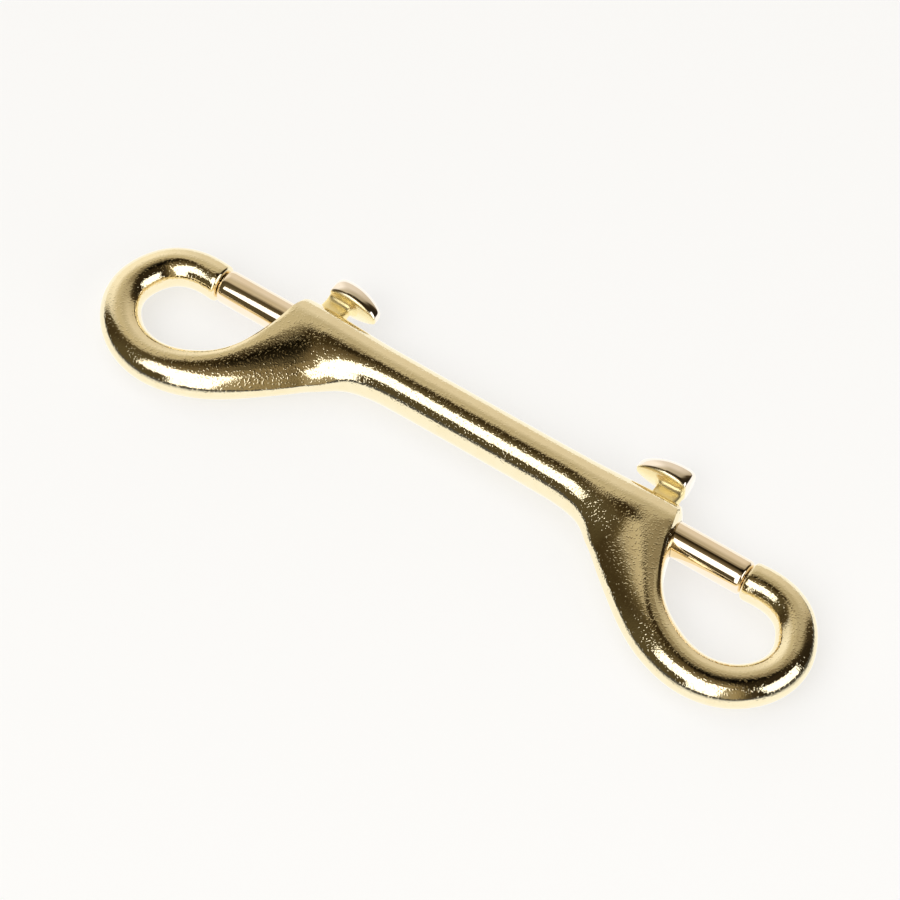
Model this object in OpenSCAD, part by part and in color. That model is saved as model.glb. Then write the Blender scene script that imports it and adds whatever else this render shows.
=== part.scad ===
// Double-ended bolt snap in cast brass, lying flat on its side.
// The bolts run along X, the two hooks bulge towards -Y, the thumb studs
// point towards +Y, and Z is up. The right end is drawn and the left end
// is its mirror image.

/* [Casting] */

// overall length over the two hooks (mm)
overall_length = 112.5; // [108:0.5:130]
// depth of a hook below the bolt axis (mm)
hook_depth = 18.9; // [17:0.1:22]
// diameter of the plain shank (mm)
shank_diameter = 7.5; // [7:0.1:9]
// diameter of the barrel at its mouth (mm)
mouth_diameter = 8.4; // [7.8:0.1:10]
// diameter of the hook at its nose (mm)
nose_diameter = 5.5; // [5.2:0.1:6.5]
// in-plane width of the hook where it leaves the barrel (mm)
spine_width = 7.5; // [6.5:0.1:8.5]
// rounding of the nose's end face (mm)
nose_rounding = 0.6; // [0.2:0.1:0.8]

/* [Bolt] */

// diameter of the sliding bolt (mm)
bolt_diameter = 4.9; // [4.4:0.1:5.1]
// radial clearance of the bolt in its bore (mm)
bolt_clearance = 0.06; // [0.03:0.01:0.1]
// length of the bolt (mm)
bolt_length = 23; // [21:0.5:24]
// rounding of the bolt's tip (mm)
tip_rounding = 0.8; // [0.3:0.1:1]
// gap between the closed bolt and the nose (mm)
closing_gap = 0.05; // [0.03:0.01:0.2]
// distance the bolt slides back (mm)
bolt_travel = 11.4; // [9:0.1:11.4]
// depth of the spring pocket behind the retracted bolt (mm)
spring_pocket = 5.2; // [5:0.1:7]

/* [Thumb stud] */

// length of the stem along the bolt (mm)
stem_length = 3.8; // [3.2:0.1:4.5]
// thickness of the stem (mm)
stem_thickness = 3.0; // [2.4:0.1:3.1]
// clearance of the stem in the slot on each side (mm)
stem_clearance = 0.1; // [0.05:0.01:0.2]
// distance from the mouth back to the stem's face (mm)
stem_setback = 2.2; // [1.8:0.1:3]
// length of the head along the bolt (mm)
head_length = 7.7; // [7:0.1:9]
// width of the head (mm)
head_width = 5.2; // [4.4:0.1:6]
// height of the head's crown above the bolt axis (mm)
head_height = 9.8; // [9.2:0.1:11]
// rounding of the stem's corners (mm)
stem_rounding = 1.1; // [0.3:0.1:1.1]
// diameter of the peg that fixes the stud in the bolt (mm)
peg_diameter = 2.2; // [1.8:0.1:2.6]

/* [Spring] */

// diameter of the spring wire (mm)
spring_wire = 0.5; // [0.4:0.05:0.6]
// outside diameter of the coil (mm)
spring_diameter = 4.4; // [4:0.1:4.6]
// number of coils
spring_coils = 7; // [6:1:8]

/* [Hidden] */

$fn = 48;
half_length = overall_length / 2;
shank_r = shank_diameter / 2;
mouth_r = mouth_diameter / 2;
nose_r = nose_diameter / 2;
bolt_r = bolt_diameter / 2;
bore_r = bolt_r + bolt_clearance;
nose_x = half_length - 13.8;
mouth_x = half_length - 25.2;
tip_x = nose_x - closing_gap;
tail_x = tip_x - bolt_length;
pocket_x = max(0.5, tail_x - bolt_travel - spring_pocket);
stem_x = mouth_x - stem_setback - stem_length;
stem_mid_x = stem_x + stem_length / 2;
slot_width = stem_thickness + 2 * stem_clearance;
slot_out_x = stem_x + stem_length + stem_clearance;
slot_in_x = stem_x - bolt_travel - stem_clearance;
flat_y = 1.8;
head_x = stem_x + stem_length - head_length;
drop = hook_depth / 18.9;
// the snap leans over until its shoulders lie on the floor, from near the
// mouth to near the hook; each of these contacts is given by its depth below
// the bolt axis and its reach from the hook's middle plane
shoulder = [4.933 * drop, mouth_r - 0.311];
belly = [9.973 * drop, (nose_r + mouth_r) / 2 + 0.02];
lean = atan2(shoulder[1] - belly[1], belly[0] - shoulder[0]);
axis_z = shoulder[1] * cos(lean) + shoulder[0] * sin(lean);
axis_y = (hook_depth - head_height) / 2;

// radius of the barrel at a distance from the middle of the shank
function barrel(x) = shank_r + (mouth_r - shank_r)
    * pow(sin(90 * min(1, max(0, (x - 14) / (mouth_x - 16)))), 2);

// Ribs of the right half, from the nose round the hook to mid-shank. Each is
// [x, y, heading towards the outer edge, half width, kind, crown, swell, fall]:
// kind runs from 0 in the round hook to 1 in the barrel, crown is the share
// of the width at which the rib is thickest, swell runs from 0 at the nose's
// thickness to 1 at the barrel's, and fall is 0 where the far side is round
// and 1 where it falls away sooner.
function rib(back, y, heading, half, swell = 0, crown = 0.5) =
    [half_length - back, y * (y < 0 ? drop : 1), heading, half, 0, crown, swell, 0];
// a rib given by its inner and outer edge
function strut(in, out, kind, crown, swell, fall) =
    let (d = out - in) [(in[0] + out[0]) / 2, (in[1] + out[1]) / 2,
                        atan2(d[1], d[0]), norm(d) / 2, kind, crown, swell, fall];
// a rib across the barrel, thickest on the bolt axis
function hoop(x, out, fall = 0) =
    strut([x, barrel(x)], out, 1, barrel(x) / (barrel(x) - out[1]), 1, fall);
function edge_at(back, y) = [half_length - back, y * drop];
w1 = nose_r;
w2 = spine_width / 2;
ribs = [
    rib(13.8 - nose_rounding, 0, 90, w1),
    rib(9.75, 0, 81, w1),
    rib(6.4, -1.25, 55, w1 + 0.03),
    rib(4.15, -3.9, 29, w1 + 0.06),
    rib(3.1, -7.35, 1, w1 + 0.1),
    rib(3.95, -10.85, -28, w1 + 0.15),
    rib(6.3, -13.6, -51, w1 + 0.2, 0.03, 0.48),
    rib(9.35, -15.25, -72, w1 + 0.27, 0.07, 0.46),
    rib(12.95, -15.8, -91, w2 - 0.64, 0.14, 0.43),
    rib(16.55, -15.2, -106, w2 - 0.54, 0.22, 0.39),
    rib(19.85, -13.85, -118.5, w2 - 0.4, 0.33, 0.34),
    strut(edge_at(20.9, -9.1), edge_at(24.95, -14.7), 0.15, 0.3, 0.47, 0.4),
    strut(edge_at(22.7, -6.7), edge_at(28, -12.4), 0.45, 0.28, 0.6, 0.7),
    strut(edge_at(23.9, -3.8), edge_at(30, -10.8), 0.75, 0.28, 0.74, 0.8),
    strut(edge_at(24.7, -0.8), edge_at(31.9, -9.2), 0.9, 0.3, 0.87, 0.8),
    strut(edge_at(25.3, 2.2), edge_at(33.4, -7.9), 1, 0.33, 0.97, 0.7),
    hoop(mouth_x - 1.7, edge_at(34.9, -6.8), 0.5),
    hoop(mouth_x - 5.2, edge_at(36.5, -5.5), 0.2),
    hoop(mouth_x - 9.6, edge_at(38.4, -4.5)),
    hoop(16.8, edge_at(41, -3.9)),
    hoop(11.5, [11.5, -shank_r]),
    hoop(6, [6, -shank_r]),
    hoop(0, [0, -shank_r])];

// natural cubic spline through the ribs
function bend_down(r, i = 1, c = [0], d = [0 * ribs[0]]) =
    i == len(r) - 1 ? [c, d]
    : let (k = 1 / (4 - c[i - 1]))
      bend_down(r, i + 1, concat(c, [k]),
        concat(d, [k * (6 * (r[i - 1] - 2 * r[i] + r[i + 1]) - d[i - 1])]));
function bend_up(cd, i, m) =
    i == 0 ? m : bend_up(cd, i - 1, concat([cd[1][i] - cd[0][i] * m[0]], m));
bends = concat([0 * ribs[0]],
               bend_up(bend_down(ribs), len(ribs) - 2, [0 * ribs[0]]));
function rib_at(u) =
    let (i = min(floor(u), len(ribs) - 2), t = u - i)
    (1 - t) * ribs[i] + t * ribs[i + 1]
    + (pow(1 - t, 3) - (1 - t)) / 6 * bends[i] + (pow(t, 3) - t) / 6 * bends[i + 1];

// half thickness of the casting at a distance s across a rib
function quarter(q, p) =
    q >= 1 ? 1 : pow(1 - pow(1 - max(q, 0), p), 1 / p);
function thickness(s, y, r) =
    s > r[2] ? r[5] * sqrt(max(0, 1 - pow((s - r[2]) / (r[1] - r[2]), r[7])))
    : r[5] * quarter(s / r[3], r[4])
      * (y > 0 ? sqrt(max(0, 1 - pow(r[6] * min(1, y / r[0]), 2))) : 1);

// closed outline of one rib in space; side is 1 at the right, -1 at the left
across = 7;
function outline(u, side) =
    let (g = rib_at(u), kind = min(1, max(0, g[4])), full = 2 * g[3],
         dir = [cos(g[2]), sin(g[2])],
         in = [g[0], g[1]] - g[3] * dir,
         top = barrel(min(in[0], mouth_x)),
         to_axis = in[1] > 0 ? in[1] / max(0.3, -dir[1]) : 0,
         crown = max(full * g[5], to_axis),
         corner = min(1, max(0, (top - in[1]) / 1.6)),
         edge = kind <= 0 ? crown
                : max(0.02, corner * ((1 - kind) * crown + kind * 0.9)),
         square = 2 + 1.2 * sin(180 * min(1, kind)) * corner,
         thick = nose_r + (top - nose_r) * g[6],
         r = [top, full, crown, edge, square, thick, kind,
              2 - 0.5 * min(1, max(0, g[7]))],
         steps = concat([for (j = [0:across]) crown * (1 - cos(90 * j / across))],
                        [for (j = [1:across]) crown + (full - crown) * sin(90 * j / across)]),
         up = [for (s = steps) let (p = in + s * dir)
               [side * p[0], p[1], s == 0 ? 0 : thickness(s, p[1], r)]])
    concat(up, [for (j = [len(up) - 2:-1:1]) [up[j][0], up[j][1], -up[j][2]]]);

// the nose's end face with its rounded edge
function nose_ring(a, side) =
    let (k = (nose_r - nose_rounding * (1 - sin(a))) / nose_r)
    [for (p = outline(0, side))
        [side * (nose_x + nose_rounding * (1 - cos(a))), p[1] * k, p[2] * k]];

last = len(ribs) - 1;
stations = concat([for (u = [0:1/3:18.01]) u], [for (u = [19:last]) u]);
rings = concat(
    [for (a = [0, 30, 60]) nose_ring(a, 1)],
    [for (u = stations) outline(u, 1)],
    [for (i = [len(stations) - 2:-1:0]) outline(stations[i], -1)],
    [for (a = [60, 30, 0]) nose_ring(a, -1)]);
count = len(rings[0]);

module casting_skin() {
    polyhedron(
        points = [for (ring = rings) for (p = ring) p],
        faces = concat(
            [[for (j = [count - 1:-1:0]) j]],
            [for (i = [0:len(rings) - 2]) for (j = [0:count - 1])
                let (k = (j + 1) % count)
                each [[i * count + j, (i + 1) * count + k, (i + 1) * count + j],
                      [i * count + j, i * count + k, (i + 1) * count + k]]],
            [[for (j = [0:count - 1]) (len(rings) - 1) * count + j]]));
}

// stands the drawing on the floor, with its box centred on the origin
module place() {
    translate([0, axis_y, axis_z]) rotate([lean, 0, 0]) children();
}

module along_x(x) {
    translate([x, 0, 0]) rotate([0, 90, 0]) children();
}

module each_end() {
    children();
    mirror([1, 0, 0]) children();
}

// slot for the stud's stem, open at the back of the barrel
module slot() {
    rounded_bar(slot_in_x, slot_out_x, slot_width, stem_rounding + stem_clearance,
                0, mouth_r + 1);
}

module body() {
    color([0.90, 0.78, 0.48]) place()
        difference() {
            casting_skin();
            each_end() {
                along_x(pocket_x) cylinder(r = bore_r, h = mouth_x + 3 - pocket_x);
                slot();
            }
        }
}

// sliding bolt of the right end, flattened where the stem sits on it
module bolt() {
    difference() {
        rotate([0, 90, 0]) rotate_extrude()
            polygon(concat(
                [[0, tail_x], [bolt_r - 0.3, tail_x], [bolt_r, tail_x + 0.3]],
                [for (a = [0:15:90])
                    [bolt_r - tip_rounding * (1 - cos(a)),
                     tip_x - tip_rounding * (1 - sin(a))]],
                [[0, tip_x]]));
        translate([stem_x - 0.02, flat_y, -bolt_r])
            cube([stem_length + 0.04, bolt_r, 2 * bolt_r]);
        translate([stem_mid_x, 0, 0]) rotate([90, 0, 0])
            cylinder(d = peg_diameter, h = 2 * bolt_diameter, center = true);
    }
}

// thumb stud of the right end: peg, stem and boat-shaped head
module stud() {
    union() {
        translate([stem_mid_x, -bolt_r + 0.5, 0]) rotate([-90, 0, 0])
            cylinder(d = peg_diameter, h = bolt_r + flat_y);
        rounded_bar(stem_x, stem_x + stem_length, stem_thickness,
                    stem_rounding, flat_y, head_height - 2);
        fillet();
        head();
    }
}

// bar with rounded corners, standing up from the bolt
module rounded_bar(x0, x1, width, r, y0, y1) {
    rotate([-90, 0, 0]) translate([0, 0, y0]) {
        translate([x0 + r, -width / 2, 0]) cube([x1 - x0 - 2 * r, width, y1 - y0]);
        translate([x0, r - width / 2, 0]) cube([x1 - x0, width - 2 * r, y1 - y0]);
        for (x = [x0 + r, x1 - r], z = [r - width / 2, width / 2 - r])
            translate([x, z, 0]) cylinder(r = r, h = y1 - y0);
    }
}

// one section of the boat-shaped head, at a share t from tip to heel
function head_section(t) =
    let (h = head_width / 2, heel = max(0, (t - 0.74) / 0.26),
         w = h * (t < 0.62 ? pow(sin(90 * t / 0.62), 0.8)
                  : 1 - 0.3 * pow(max(0, (t - 0.62) / 0.38), 3)),
         rise = 2.5 * (t < 0.7 ? pow(sin(90 * t / 0.7), 0.9)
                       : 1 - 0.62 * (1 - sqrt(max(0, 1 - pow(heel, 2.2))))),
         foot = head_height - 2.9, rim = foot + 0.25 + 0.45 * min(1, 3 * t))
    concat([[head_x + head_length * t, foot, -w * 0.94]],
           [for (a = [0:15:180]) [head_x + head_length * t,
               rim + max(0.05, foot + 0.4 + rise - rim) * sin(a), -w * cos(a)]],
           [[head_x + head_length * t, foot, w * 0.94]]);

module head() {
    sections = [for (t = [0.012, 0.05, 0.12, 0.2, 0.3, 0.42, 0.54, 0.66, 0.76,
                          0.84, 0.9, 0.95, 0.98, 1]) head_section(t)];
    n = len(sections[0]);
    polyhedron(
        points = [for (ring = sections) each ring],
        faces = concat(
            [[for (j = [0:n - 1]) j]],
            [for (i = [0:len(sections) - 2]) for (j = [0:n - 1])
                let (k = (j + 1) % n)
                each [[i * n + j, (i + 1) * n + j, (i + 1) * n + k],
                      [i * n + j, (i + 1) * n + k, i * n + k]]],
            [[for (j = [n - 1:-1:0]) (len(sections) - 1) * n + j]]));
}

// hollow fillet between the stem and the overhanging tip
module fillet() {
    r = 1.3;
    translate([stem_x, head_height - 2.85, 0]) difference() {
        translate([-r, -r, -stem_thickness / 2 + 0.6])
            cube([r + 0.6, r + 0.05, stem_thickness - 1.2]);
        translate([-r, -r, 0]) cylinder(r = r, h = head_width, center = true);
    }
}

// compression spring of the right end
module spring() {
    turns = spring_coils;
    mean_r = (spring_diameter - spring_wire) / 2;
    x0 = pocket_x + spring_wire / 2;
    pitch = (tail_x - pocket_x - spring_wire) / turns;
    sides = 6;
    per_turn = 16;
    n = turns * per_turn;
    polyhedron(
        points = [for (i = [0:n]) for (k = [0:sides - 1])
            let (a = 360 * i / per_turn, b = 360 * k / sides,
                 rr = mean_r + spring_wire / 2 * cos(b))
            [x0 + pitch * i / per_turn + spring_wire / 2 * sin(b),
             rr * cos(a), rr * sin(a)]],
        faces = concat(
            [[for (k = [sides - 1:-1:0]) k]],
            [for (i = [0:n - 1]) for (k = [0:sides - 1])
                let (m = (k + 1) % sides)
                each [[i * sides + k, i * sides + m, (i + 1) * sides + m],
                      [i * sides + k, (i + 1) * sides + m, (i + 1) * sides + k]]],
            [[for (k = [0:sides - 1]) n * sides + k]]));
}

module right_bolt() { color([0.88, 0.70, 0.44]) place() bolt(); }
module left_bolt() { color([0.88, 0.70, 0.44]) place() mirror([1, 0, 0]) bolt(); }
module right_stud() { color([0.86, 0.66, 0.42]) place() stud(); }
module left_stud() { color([0.86, 0.66, 0.42]) place() mirror([1, 0, 0]) stud(); }
module right_spring() { color([0.75, 0.75, 0.76]) place() spring(); }
module left_spring() { color([0.75, 0.75, 0.76]) place() mirror([1, 0, 0]) spring(); }

body();
right_bolt();
left_bolt();
right_stud();
left_stud();
right_spring();
left_spring();
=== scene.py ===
import bpy
import bmesh
from math import radians, sin, cos, pi
from mathutils import Matrix, Vector


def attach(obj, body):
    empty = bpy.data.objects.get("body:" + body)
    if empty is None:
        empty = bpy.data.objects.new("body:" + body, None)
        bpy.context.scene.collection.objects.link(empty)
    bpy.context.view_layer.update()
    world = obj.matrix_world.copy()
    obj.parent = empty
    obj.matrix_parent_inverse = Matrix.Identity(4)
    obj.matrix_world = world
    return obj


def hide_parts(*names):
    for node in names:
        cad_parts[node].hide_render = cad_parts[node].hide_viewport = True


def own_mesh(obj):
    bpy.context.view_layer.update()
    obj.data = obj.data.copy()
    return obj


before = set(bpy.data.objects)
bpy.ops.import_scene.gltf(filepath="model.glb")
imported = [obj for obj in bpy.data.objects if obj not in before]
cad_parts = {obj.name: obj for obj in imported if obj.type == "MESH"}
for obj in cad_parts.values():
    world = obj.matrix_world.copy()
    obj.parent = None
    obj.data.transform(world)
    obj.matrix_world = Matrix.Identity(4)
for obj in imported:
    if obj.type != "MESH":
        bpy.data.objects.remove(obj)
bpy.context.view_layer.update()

mm = 0.001
print("frame loaded:", ", ".join(sorted(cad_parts)))


class Wire:
    # one output socket; operators on it add Math nodes
    def __init__(self, sheet, socket):
        self.sheet, self.socket = sheet, socket

    def maths(self, operation, *values):
        return self.sheet.add("Math", dict(operation=operation), *values)

    def __add__(self, other): return self.maths("ADD", self, other)
    def __radd__(self, other): return self.maths("ADD", other, self)
    def __sub__(self, other): return self.maths("SUBTRACT", self, other)
    def __rsub__(self, other): return self.maths("SUBTRACT", other, self)
    def __mul__(self, other): return self.maths("MULTIPLY", self, other)
    def __rmul__(self, other): return self.maths("MULTIPLY", other, self)
    def __truediv__(self, other): return self.maths("DIVIDE", self, other)
    def __rtruediv__(self, other): return self.maths("DIVIDE", other, self)
    def atLeast(self, other): return self.maths("MAXIMUM", self, other)
    def atMost(self, other): return self.maths("MINIMUM", self, other)


class Sheet:
    # an emptied node tree; add() makes any node
    def __init__(self, tree):
        self.tree = tree
        tree.nodes.clear()

    def add(self, kind, settings=None, *values, out=0, **sockets):
        node = self.tree.nodes.new("ShaderNode" + kind)
        for name, value in (settings or {}).items():
            if name == "stops":
                self.setRamp(node.color_ramp, value)
            else:
                setattr(node, name, value)
        for place, value in enumerate(values):
            self.plug(node.inputs[place], value)
        for name, value in sockets.items():
            self.plug(node.inputs[name.replace("_", " ")], value)
        return Wire(self, node.outputs[out]) if node.outputs else None

    def split(self, vector):
        # the vector's x, y and z
        node = self.add("SeparateXYZ", None, vector).socket.node
        return [Wire(self, output) for output in node.outputs]

    def setRamp(self, ramp, stops):
        while len(ramp.elements) < len(stops):
            ramp.elements.new(0.5)
        for element, (place, shade) in zip(ramp.elements, stops):
            element.position = place
            element.color = (*(shade if isinstance(shade, tuple) else (shade,) * 3), 1)

    def plug(self, slot, value):
        if isinstance(value, Wire):
            self.tree.links.new(value.socket, slot)
        elif isinstance(value, tuple):
            slot.default_value = (*value, 1)
        else:
            slot.default_value = value

    def mixColour(self, share, low, high, blend="MIX"):
        # the Mix node keeps its two colours in inputs 6 and 7 and the result in output 2
        node = self.tree.nodes.new("ShaderNodeMix")
        node.data_type, node.blend_type = "RGBA", blend
        for place, value in ((0, share), (6, low), (7, high)):
            self.plug(node.inputs[place], value)
        return Wire(self, node.outputs[2])


def newMaterial(name):
    material = bpy.data.materials.new(name)
    material.use_nodes = True
    return material, Sheet(material.node_tree)


# azimuth 0 looks along +Y; the snap is seen from its front right, well above
camera = dict(azimuth=31.55, elevation=55.93, roll=2.63, distance=0.3985,
              target=(-1.01 * mm, -0.75 * mm, 4.45 * mm), lens=118.5, sensor=36,
              clipStart=0.01)


def addCamera():
    a, e, r = (radians(camera[k]) for k in ("azimuth", "elevation", "roll"))
    back = Vector((sin(a) * cos(e), -cos(a) * cos(e), sin(e)))
    level = Vector((cos(a), sin(a), 0))
    upright = back.cross(level)
    right = level * cos(r) + upright * sin(r)
    up = back.cross(right)
    place = Matrix((right, up, back)).transposed().to_4x4()
    place.translation = Vector(camera["target"]) + camera["distance"] * back
    data = bpy.data.cameras.new("camera")
    data.sensor_width, data.lens = camera["sensor"], camera["lens"]
    data.clip_start = camera["clipStart"]
    eye = bpy.data.objects.new("camera", data)
    eye.matrix_world = place
    bpy.context.scene.collection.objects.link(eye)
    bpy.context.scene.camera = eye


# the painted pool of light on the table, seen only in reflections: where it begins and ends to
# fade past its corner, and the painted shade it leaves beyond
# softboxes: degrees round from +Y towards +X, degrees up, distance, size, strength
# walls, upperWalls and crown: degrees round, colour
# joins: degrees up between which one of these gives way to the next
# ceiling: degrees up, share of the light left
studio = dict(
    floorSize=8.0, floorColour=(0.93, 0.93, 0.925), floorGlow=0.6, reflectedGlow=1.1,
    # then the backdrop, and the painted pool of light on the table as the metal sees it, its
    # corner and the painted shade past it
    backdrop=(0.94, 0.94, 0.93), paintedLightPool=(0.006, 0.022), paintedPoolCorner=(0.056, -0.014),
    paintedPoolShade=0.08,
    softboxes=dict(side=(95, 25, 0.8, (0.58, 0.56), 1.8),
                   front=(170.5, 29, 1.0, (0.48, 1.02), 1.8),
                   upperFront=(200, 45, 1.0, (0.46, 0.56), 1.8)),
    fillStrength=1.32, fillAngle=80, fillTilt=(12, -14, 0),
    walls=[(-180, (0.08, 0.06, 0.03)), (-150, (0.10, 0.08, 0.04)), (-130, (0.10, 0.08, 0.04)),
           (-112, (0.05, 0.035, 0.015)), (-98, (0.08, 0.06, 0.03)), (-91, (0.85, 0.80, 0.70)),
           (-75, (1.05, 1.00, 0.90)), (-50, (1.05, 0.99, 0.88)), (-32, (0.82, 0.75, 0.63)),
           (-10, (0.78, 0.70, 0.57)), (10, (0.64, 0.57, 0.44)), (22, (0.50, 0.43, 0.31)),
           (28, (0.07, 0.05, 0.025)), (44, (0.025, 0.018, 0.01)), (120, (0.03, 0.022, 0.012)),
           (134, (0.08, 0.06, 0.03)), (143, (0.34, 0.27, 0.15)), (156, (0.40, 0.35, 0.25)),
           (170, (0.10, 0.08, 0.04)), (180, (0.08, 0.06, 0.03))],
    upperWalls=[(-180, (0.26, 0.21, 0.13)), (-150, (0.20, 0.16, 0.09)), (-130, (0.10, 0.08, 0.04)),
                (-112, (0.08, 0.06, 0.03)), (-100, (0.13, 0.10, 0.05)), (-90, (0.50, 0.43, 0.30)),
                (-75, (0.61, 0.53, 0.37)), (-50, (0.60, 0.53, 0.385)), (-30, (0.53, 0.465, 0.335)),
                (10, (0.48, 0.42, 0.30)), (30, (0.36, 0.31, 0.21)), (42, (0.08, 0.06, 0.03)),
                (54, (0.03, 0.02, 0.01)), (130, (0.03, 0.022, 0.012)),
                (146, (0.26, 0.20, 0.11)), (180, (0.26, 0.21, 0.13))],
    crown=[(-180, (0.16, 0.12, 0.065)), (-130, (0.11, 0.08, 0.04)), (-110, (0.05, 0.035, 0.014)),
           (-68, (0.035, 0.022, 0.009)), (-55, (0.30, 0.25, 0.16)), (20, (0.28, 0.23, 0.15)),
           (36, (0.09, 0.07, 0.035)), (50, (0.02, 0.014, 0.007)), (130, (0.02, 0.014, 0.007)),
           (146, (0.10, 0.08, 0.045)), (180, (0.16, 0.12, 0.065))],
    joins=((36, 56), (67, 70)), ceiling=[(75, 1.0), (82, 0.15), (90, 0.06)])


def addSoftbox(name, around, height, distance, size, strength):
    data = bpy.data.lights.new(name, "AREA")
    data.shape = "RECTANGLE"
    data.size, data.size_y = size
    data.energy = strength * pi * size[0] * size[1]
    a, e = radians(around), radians(height)
    towards = Vector((sin(a) * cos(e), cos(a) * cos(e), sin(e)))
    lamp = bpy.data.objects.new(name, data)
    lamp.rotation_euler = towards.to_track_quat("Z", "Y").to_euler()
    lamp.location = towards * distance
    bpy.context.scene.collection.objects.link(lamp)


def addFill():
    # lights the table, out of sight of the metal
    data = bpy.data.lights.new("ceilingFill", "SUN")
    data.energy, data.angle = studio["fillStrength"], radians(studio["fillAngle"])
    lamp = bpy.data.objects.new("ceilingFill", data)
    lamp.visible_glossy = False
    lamp.location = (0, 0, 1)
    lamp.rotation_euler = [radians(tilt) for tilt in studio["fillTilt"]]
    bpy.context.scene.collection.objects.link(lamp)


def addFloor():
    bm = bmesh.new()
    bmesh.ops.create_grid(bm, x_segments=1, y_segments=1, size=studio["floorSize"] / 2)
    mesh = bpy.data.meshes.new("floor")
    bm.to_mesh(mesh)
    bm.free()
    floor = bpy.data.objects.new("floor", mesh)
    bpy.context.scene.collection.objects.link(floor)

    material, sheet = newMaterial("paleTable")
    toCamera, mirrored, through = (sheet.add("LightPath", out="Is %s Ray" % kind)
                                   for kind in ("Camera", "Glossy", "Transmission"))
    x, y, _ = sheet.split(sheet.add("TexCoord", out="Object"))
    # the metal sees the table glow only in a painted pool of light beside the snap, fading to
    # painted shade past the pool's corner
    cornerX, cornerY = studio["paintedPoolCorner"]
    past = (x - cornerX).atLeast(cornerY - y)
    near, far = studio["paintedLightPool"]
    pool = ((far - past) / (far - near)).atLeast(0.0).atMost(1.0)
    reflected = (pool * (1 - studio["paintedPoolShade"]) + studio["paintedPoolShade"]) * studio["reflectedGlow"]
    lit = sheet.add("BsdfDiffuse", Color=studio["floorColour"])
    glow = sheet.add("Emission", Color=(1.0, 1.0, 1.0),
                     Strength=mirrored * reflected + (1 - mirrored))
    share = (toCamera.atLeast(through) * studio["floorGlow"] + mirrored).atMost(1.0)
    sheet.add("OutputMaterial", None, sheet.add("MixShader", None, share, lit, glow))
    mesh.materials.append(material)


def addRoom():
    world = bpy.data.worlds.new("studioRoom")
    bpy.context.scene.world = world
    world.use_nodes = True
    room = Sheet(world.node_tree)
    x, y, z = room.split(room.add("TexCoord", out="Generated"))
    around = x.maths("ARCTAN2", x, y) / (2 * pi) + 0.5
    lift = z.maths("ARCSINE", z) / (pi / 2)
    colour, *above = (room.add("ValToRGB", dict(stops=[(0.5 + turn / 360, shade)
                                                       for turn, shade in studio[ring]]), around)
                      for ring in ("walls", "upperWalls", "crown"))
    for ring, (low, high) in zip(above, studio["joins"]):
        join = room.add("ValToRGB", dict(stops=[(low / 90, 0.0), (high / 90, 1.0)]), lift)
        colour = room.mixColour(join, colour, ring)
    left = room.add("ValToRGB", dict(stops=[(up / 90, share) for up, share in studio["ceiling"]]),
                    lift)
    colour = room.mixColour(1.0, colour, left, "MULTIPLY")
    toCamera = room.add("LightPath", out="Is Camera Ray")
    colour = room.mixColour(toCamera, colour, studio["backdrop"])
    room.add("OutputWorld", None, room.add("Background", None, colour, 1.0))


bpy.context.scene.view_settings.view_transform = "Standard"
addCamera()
for name, values in studio["softboxes"].items():
    addSoftbox(name + "Softbox", *values)
addFill()
addFloor()
addRoom()
print("camera and studio set")


# the casting keeps a fine cast grain and small specks under its polish. skin holds for all
# metals: the noises' detail, how far the grain sways the roughness, where specks begin and
# are full, and half the height over which the neck's rougher finish and painted reflection fade
skin = dict(grainHarshness=0.55, peelDetail=2.0, peelHarshness=0.5, sway=0.04,
            specks=[(0.60, 0.0), (0.76, 1.0)], neckFade=0.15 * mm)
castBrass = dict(pale=(0.94, 0.84, 0.59), deep=(0.88, 0.76, 0.49), roughness=0.05,
                 grainSize=0.22 * mm, grainDetail=1.0, grainDepth=0.008 * mm, peelSize=1.6 * mm,
                 peelDepth=0.008 * mm, speckSize=0.28 * mm, speckDepth=0.010 * mm)
turnedBrass = dict(pale=(0.96, 0.84, 0.68), deep=(0.92, 0.77, 0.57), roughness=0.055,
                   grainSize=0.25 * mm, grainDetail=4.0, grainDepth=0.0008 * mm,
                   peelSize=2.2 * mm, peelDepth=0.004 * mm)
# the stud's yellower colour below the head's rim is a painted reflection of the barrel's slot
studBrass = dict(turnedBrass, pale=(0.97, 0.88, 0.78), deep=(0.94, 0.84, 0.72),
                 neck=10.95 * mm, neckColour=(1.0, 0.85, 0.46), neckRoughness=0.32)
springSteel = dict(pale=(0.72, 0.72, 0.72), deep=(0.60, 0.60, 0.60), roughness=0.22,
                   grainSize=0.10 * mm, grainDetail=4.0, grainDepth=0.0010 * mm,
                   peelSize=0.8 * mm, peelDepth=0.002 * mm)


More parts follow.
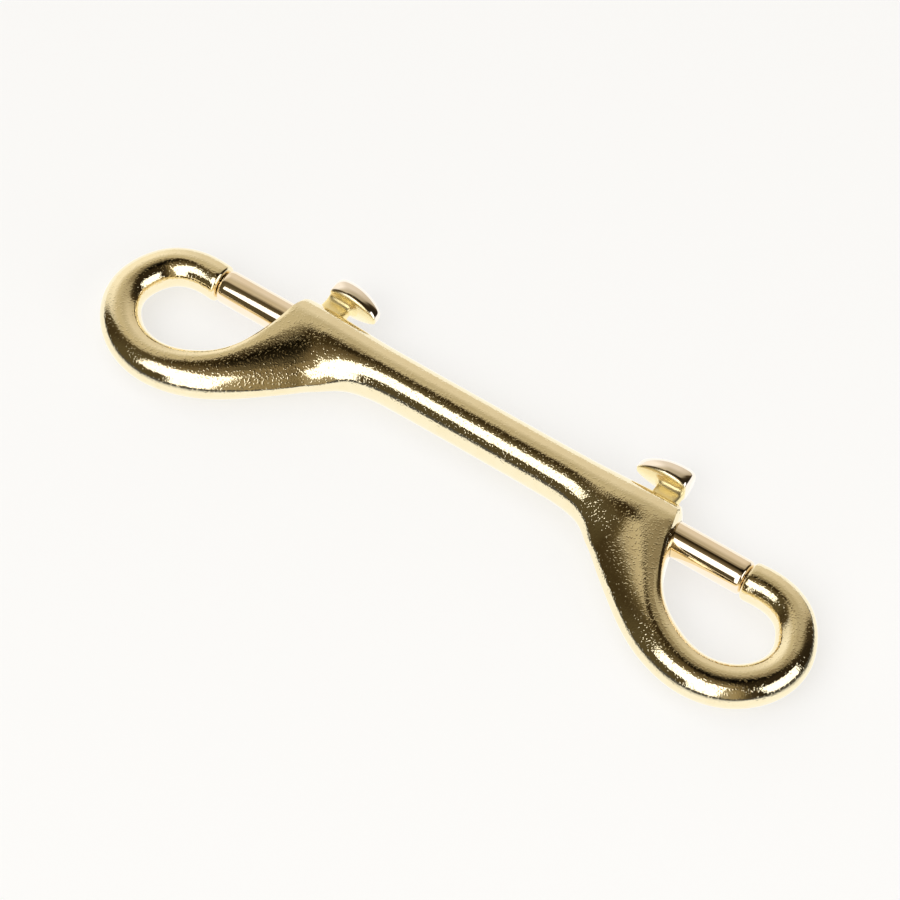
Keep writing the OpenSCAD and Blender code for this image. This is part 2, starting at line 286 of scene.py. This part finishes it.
def metal(name, look):
    material, sheet = newMaterial(name)
    spot = sheet.add("TexCoord", out="Object")
    place = sheet.add("Mapping", None, spot)
    fine = sheet.add("TexNoise", None, place, Scale=1 / look["grainSize"],
                     Detail=look["grainDetail"], Roughness=skin["grainHarshness"])
    broad = sheet.add("TexNoise", None, place, Scale=1 / look["peelSize"],
                      Detail=skin["peelDetail"], Roughness=skin["peelHarshness"])
    bumps = [(look["grainDepth"], fine), (look["peelDepth"], broad)]
    if "speckSize" in look:
        speck = sheet.add("TexNoise", None, place, Scale=1 / look["speckSize"], Detail=0.0)
        lump = sheet.add("ValToRGB", dict(stops=skin["specks"]), speck)
        bumps.insert(1, (look["speckDepth"], lump))
    normal = {}
    for depth, height in bumps:
        normal = dict(Normal=sheet.add("Bump", None, Strength=1.0, Distance=depth,
                                       Height=height, **normal))
    tone = sheet.mixColour(broad, look["deep"], look["pale"])
    rough = look["roughness"] + (fine - 0.5) * skin["sway"]
    if "neck" in look:
        # up to the head's rim the neck is rougher, and its yellower colour there is a painted
        # reflection of the barrel's slot
        rise = sheet.split(spot)[1]
        neck = sheet.add("MapRange", None, rise, look["neck"] - skin["neckFade"],
                         look["neck"] + skin["neckFade"], 1.0, 0.0)
        tone = sheet.mixColour(neck, tone, look["neckColour"])
        rough = rough + neck * look["neckRoughness"]
    sheet.add("OutputMaterial", None, sheet.add("BsdfPrincipled", None, Base_Color=tone,
                                                Roughness=rough, Metallic=1.0, **normal))
    return material


castFinish = metal("castBrass", castBrass)
turnedFinish = metal("turnedBrass", turnedBrass)
studFinish = metal("studBrass", studBrass)
wireFinish = metal("springSteel", springSteel)


def dress(bm, name, finish, node, body, levels):
    mesh = bpy.data.meshes.new(name)
    bm.to_mesh(mesh)
    bm.free()
    piece = bpy.data.objects.new(name, mesh)
    bpy.context.scene.collection.objects.link(piece)
    mesh.materials.append(finish)
    if levels:
        finer = piece.modifiers.new("finer", "SUBSURF")
        finer.levels = finer.render_levels = levels
    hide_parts(node)
    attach(piece, body)
    return piece


# merge: vertices nearer than this become one; flat and skew: how far two triangles may
# bend and be out of square to join in a quad; softest: the bend below which no edge is creased
refining = dict(merge=0.002 * mm, flat=25, skew=60, softest=10)


def refined(node, name, finish, body, levels=2, sharp=38):
    # a finer, smoother piece over a CAD node: merged, in quads, edges kept crisp
    bm = bmesh.new()
    bm.from_mesh(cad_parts[node].data)
    bmesh.ops.remove_doubles(bm, verts=bm.verts, dist=refining["merge"])
    bmesh.ops.join_triangles(bm, faces=bm.faces, angle_face_threshold=radians(refining["flat"]),
                             angle_shape_threshold=radians(refining["skew"]))
    crease = bm.edges.layers.float.new("crease_edge")
    softest = radians(refining["softest"])
    for edge in bm.edges:
        bend = edge.calc_face_angle(pi)
        edge.smooth = bend < radians(sharp)
        edge[crease] = min(1, max(0, (bend - softest) / (radians(sharp) - softest)))
    for face in bm.faces:
        face.smooth = True
    return dress(bm, name, finish, node, body, levels)


# the stud leans over with the snap. Its head runs from tip to heel along x, widest at its
# rim and tucked in below; the neck is pinched at a waist between the bolt and the head.
# Lengths are from the middle of the snap, heights from the bolt's axis. rim and crown:
# height at the tip and where it is full; shares of the head's length: run, fullest,
# rimFull, crownFull, heelStart, ends; wall: share of the underside that is the side wall
stud = dict(lean=4.47, axis=(4.55 * mm, 4.26 * mm), tip=21.15 * mm, length=7.7 * mm,
            halfWidth=2.6 * mm, foot=6.3 * mm, rim=(6.8 * mm, 7.1 * mm),
            crown=(7.4 * mm, 9.8 * mm), run=(0.001, 0.999), fullest=0.62, tipBluntness=0.55,
            heelPinch=0.3, rimFull=0.6, crownFull=0.8, crownBluntness=0.6, heelStart=0.85,
            heelDrop=0.45 * mm, heelBend=2.5, tuck=0.23, wall=2 / 3, ends=0.04, heelEdge=0.15,
            middle=0.3, squareness=2.1, neck=(25.05 * mm, 28.85 * mm),
            neckRise=(1.8 * mm, 6.6 * mm), halfNeck=1.5 * mm,
            taper=(3.5 * mm, 5.4 * mm, 0.62), fillet=0.9 * mm, underHead=0.9,
            neckSquareness=4.5, peg=1.08 * mm, pegEnd=-2.3 * mm, headGrid=(40, 48),
            neckGrid=(32, 48), pegSides=32, sharp=50)


def rollGrid(bm, along, around, section):
    # a grid rolled into a closed tube; section(share along, angle) places each point
    grid = bmesh.ops.create_grid(bm, x_segments=along, y_segments=around, size=0.5)["verts"]
    for vert in grid:
        vert.co = section(vert.co.x + 0.5, 2 * pi * (vert.co.y + 0.5))
    bmesh.ops.remove_doubles(bm, verts=grid, dist=refining["merge"])
    bmesh.ops.holes_fill(bm, edges=[edge for edge in bm.edges if edge.is_boundary])


def passed(value, start, end):
    # the share of the way from start to end, held between 0 and 1
    return min(1, max(0, (value - start) / (end - start)))


def between(ends, share):
    return ends[0] + (ends[1] - ends[0]) * share


def squared(value, squareness):
    return abs(value) ** (2 / squareness) * (1 if value > 0 else -1)


def headHalf(along):
    tip = sin(pi / 2 * passed(along, 0, stud["fullest"])) ** stud["tipBluntness"]
    heel = passed(along, stud["fullest"], 1) ** 3
    return stud["halfWidth"] * (tip - stud["heelPinch"] * heel)


def headSection(share, angle):
    along = between(stud["run"], (1 - cos(pi * share)) / 2)
    half = headHalf(along)
    rim = between(stud["rim"], sin(pi / 2 * passed(along, 0, stud["rimFull"])))
    swell = sin(pi / 2 * passed(along, 0, stud["crownFull"])) ** stud["crownBluntness"]
    crown = between(stud["crown"], swell)
    crown -= stud["heelDrop"] * passed(along, stud["heelStart"], 1) ** stud["heelBend"]
    if sin(angle) >= 0:
        y = between((rim, crown), squared(sin(angle), stud["squareness"]))
        z = half * squared(cos(angle), stud["squareness"])
    else:
        # down the tucked side wall, then across the flat underside to its middle
        inward = min(angle - pi, 2 * pi - angle) / (pi / 2)
        bend = pi / 2 * passed(inward, 0, stud["wall"])
        flat = 1 - passed(inward, stud["wall"], 1)
        y = between((rim, stud["foot"]), sin(bend))
        z = half * (1 - stud["tuck"] * (1 - cos(bend))) * flat * (1 if cos(angle) > 0 else -1)
    # both ends close in towards the middle
    tip, heel = passed(along, 0, stud["ends"]), passed(along, 1 - stud["ends"], 1)
    shrink = (1 - (1 - tip) ** 2) ** 0.5 * (1 - stud["heelEdge"] * heel ** 2)
    middle = between((rim, crown), stud["middle"])
    return Vector((stud["tip"] + stud["length"] * along, between((middle, y), shrink), z * shrink))


def neckSection(share, angle):
    y = between(stud["neckRise"], share)
    start, waist, pinch = stud["taper"]
    spread = between((1, pinch), passed(y, start, waist))
    flare = 1 - (1 - passed(y, waist, stud["foot"]) ** 2) ** 0.5
    back, front = stud["neck"]
    back -= stud["fillet"] * flare
    reach = squared(cos(angle), stud["neckSquareness"])
    x = (back + front) / 2 + (front - back) / 2 * reach
    head = headHalf((x - stud["tip"]) / stud["length"])
    under = stud["underHead"] * (1 - stud["tuck"]) * head
    half = between((stud["halfNeck"] * spread, under), flare)
    return Vector((x, y, half * squared(sin(angle), stud["neckSquareness"])))


def addThumbStud(side, hand):
    bm = bmesh.new()
    rollGrid(bm, *stud["headGrid"], headSection)
    rollGrid(bm, *stud["neckGrid"], neckSection)
    top, bottom = stud["neckRise"][0], stud["pegEnd"]
    place = Matrix.Translation((sum(stud["neck"]) / 2, (top + bottom) / 2, 0))
    bmesh.ops.create_cone(bm, cap_ends=True, segments=stud["pegSides"], radius1=stud["peg"],
                          radius2=stud["peg"], depth=top - bottom,
                          matrix=place @ Matrix.Rotation(pi / 2, 4, "X"))
    lean = Matrix.Rotation(radians(stud["lean"]), 4, "X")
    mirror = Matrix.Diagonal((hand, 1, 1, 1))
    bmesh.ops.transform(bm, verts=bm.verts,
                        matrix=Matrix.Translation((0, *stud["axis"])) @ lean @ mirror)
    bmesh.ops.recalc_face_normals(bm, faces=bm.faces)
    for face in bm.faces:
        face.smooth = True
    for edge in bm.edges:
        edge.smooth = edge.calc_face_angle(pi) < radians(stud["sharp"])
    dress(bm, side + "ThumbStud", studFinish, side + "_stud", side + "_slider", levels=0)


refined("body", "casting", castFinish, "casting")
for side, hand in (("right", 1), ("left", -1)):
    addThumbStud(side, hand)
    refined(side + "_bolt", side + "SlidingBolt", turnedFinish, side + "_slider", levels=1)
    coils = refined(side + "_spring", side + "ReturnSpring", wireFinish, "casting",
                    levels=0, sharp=80)
    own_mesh(coils)
print("pieces dressed")
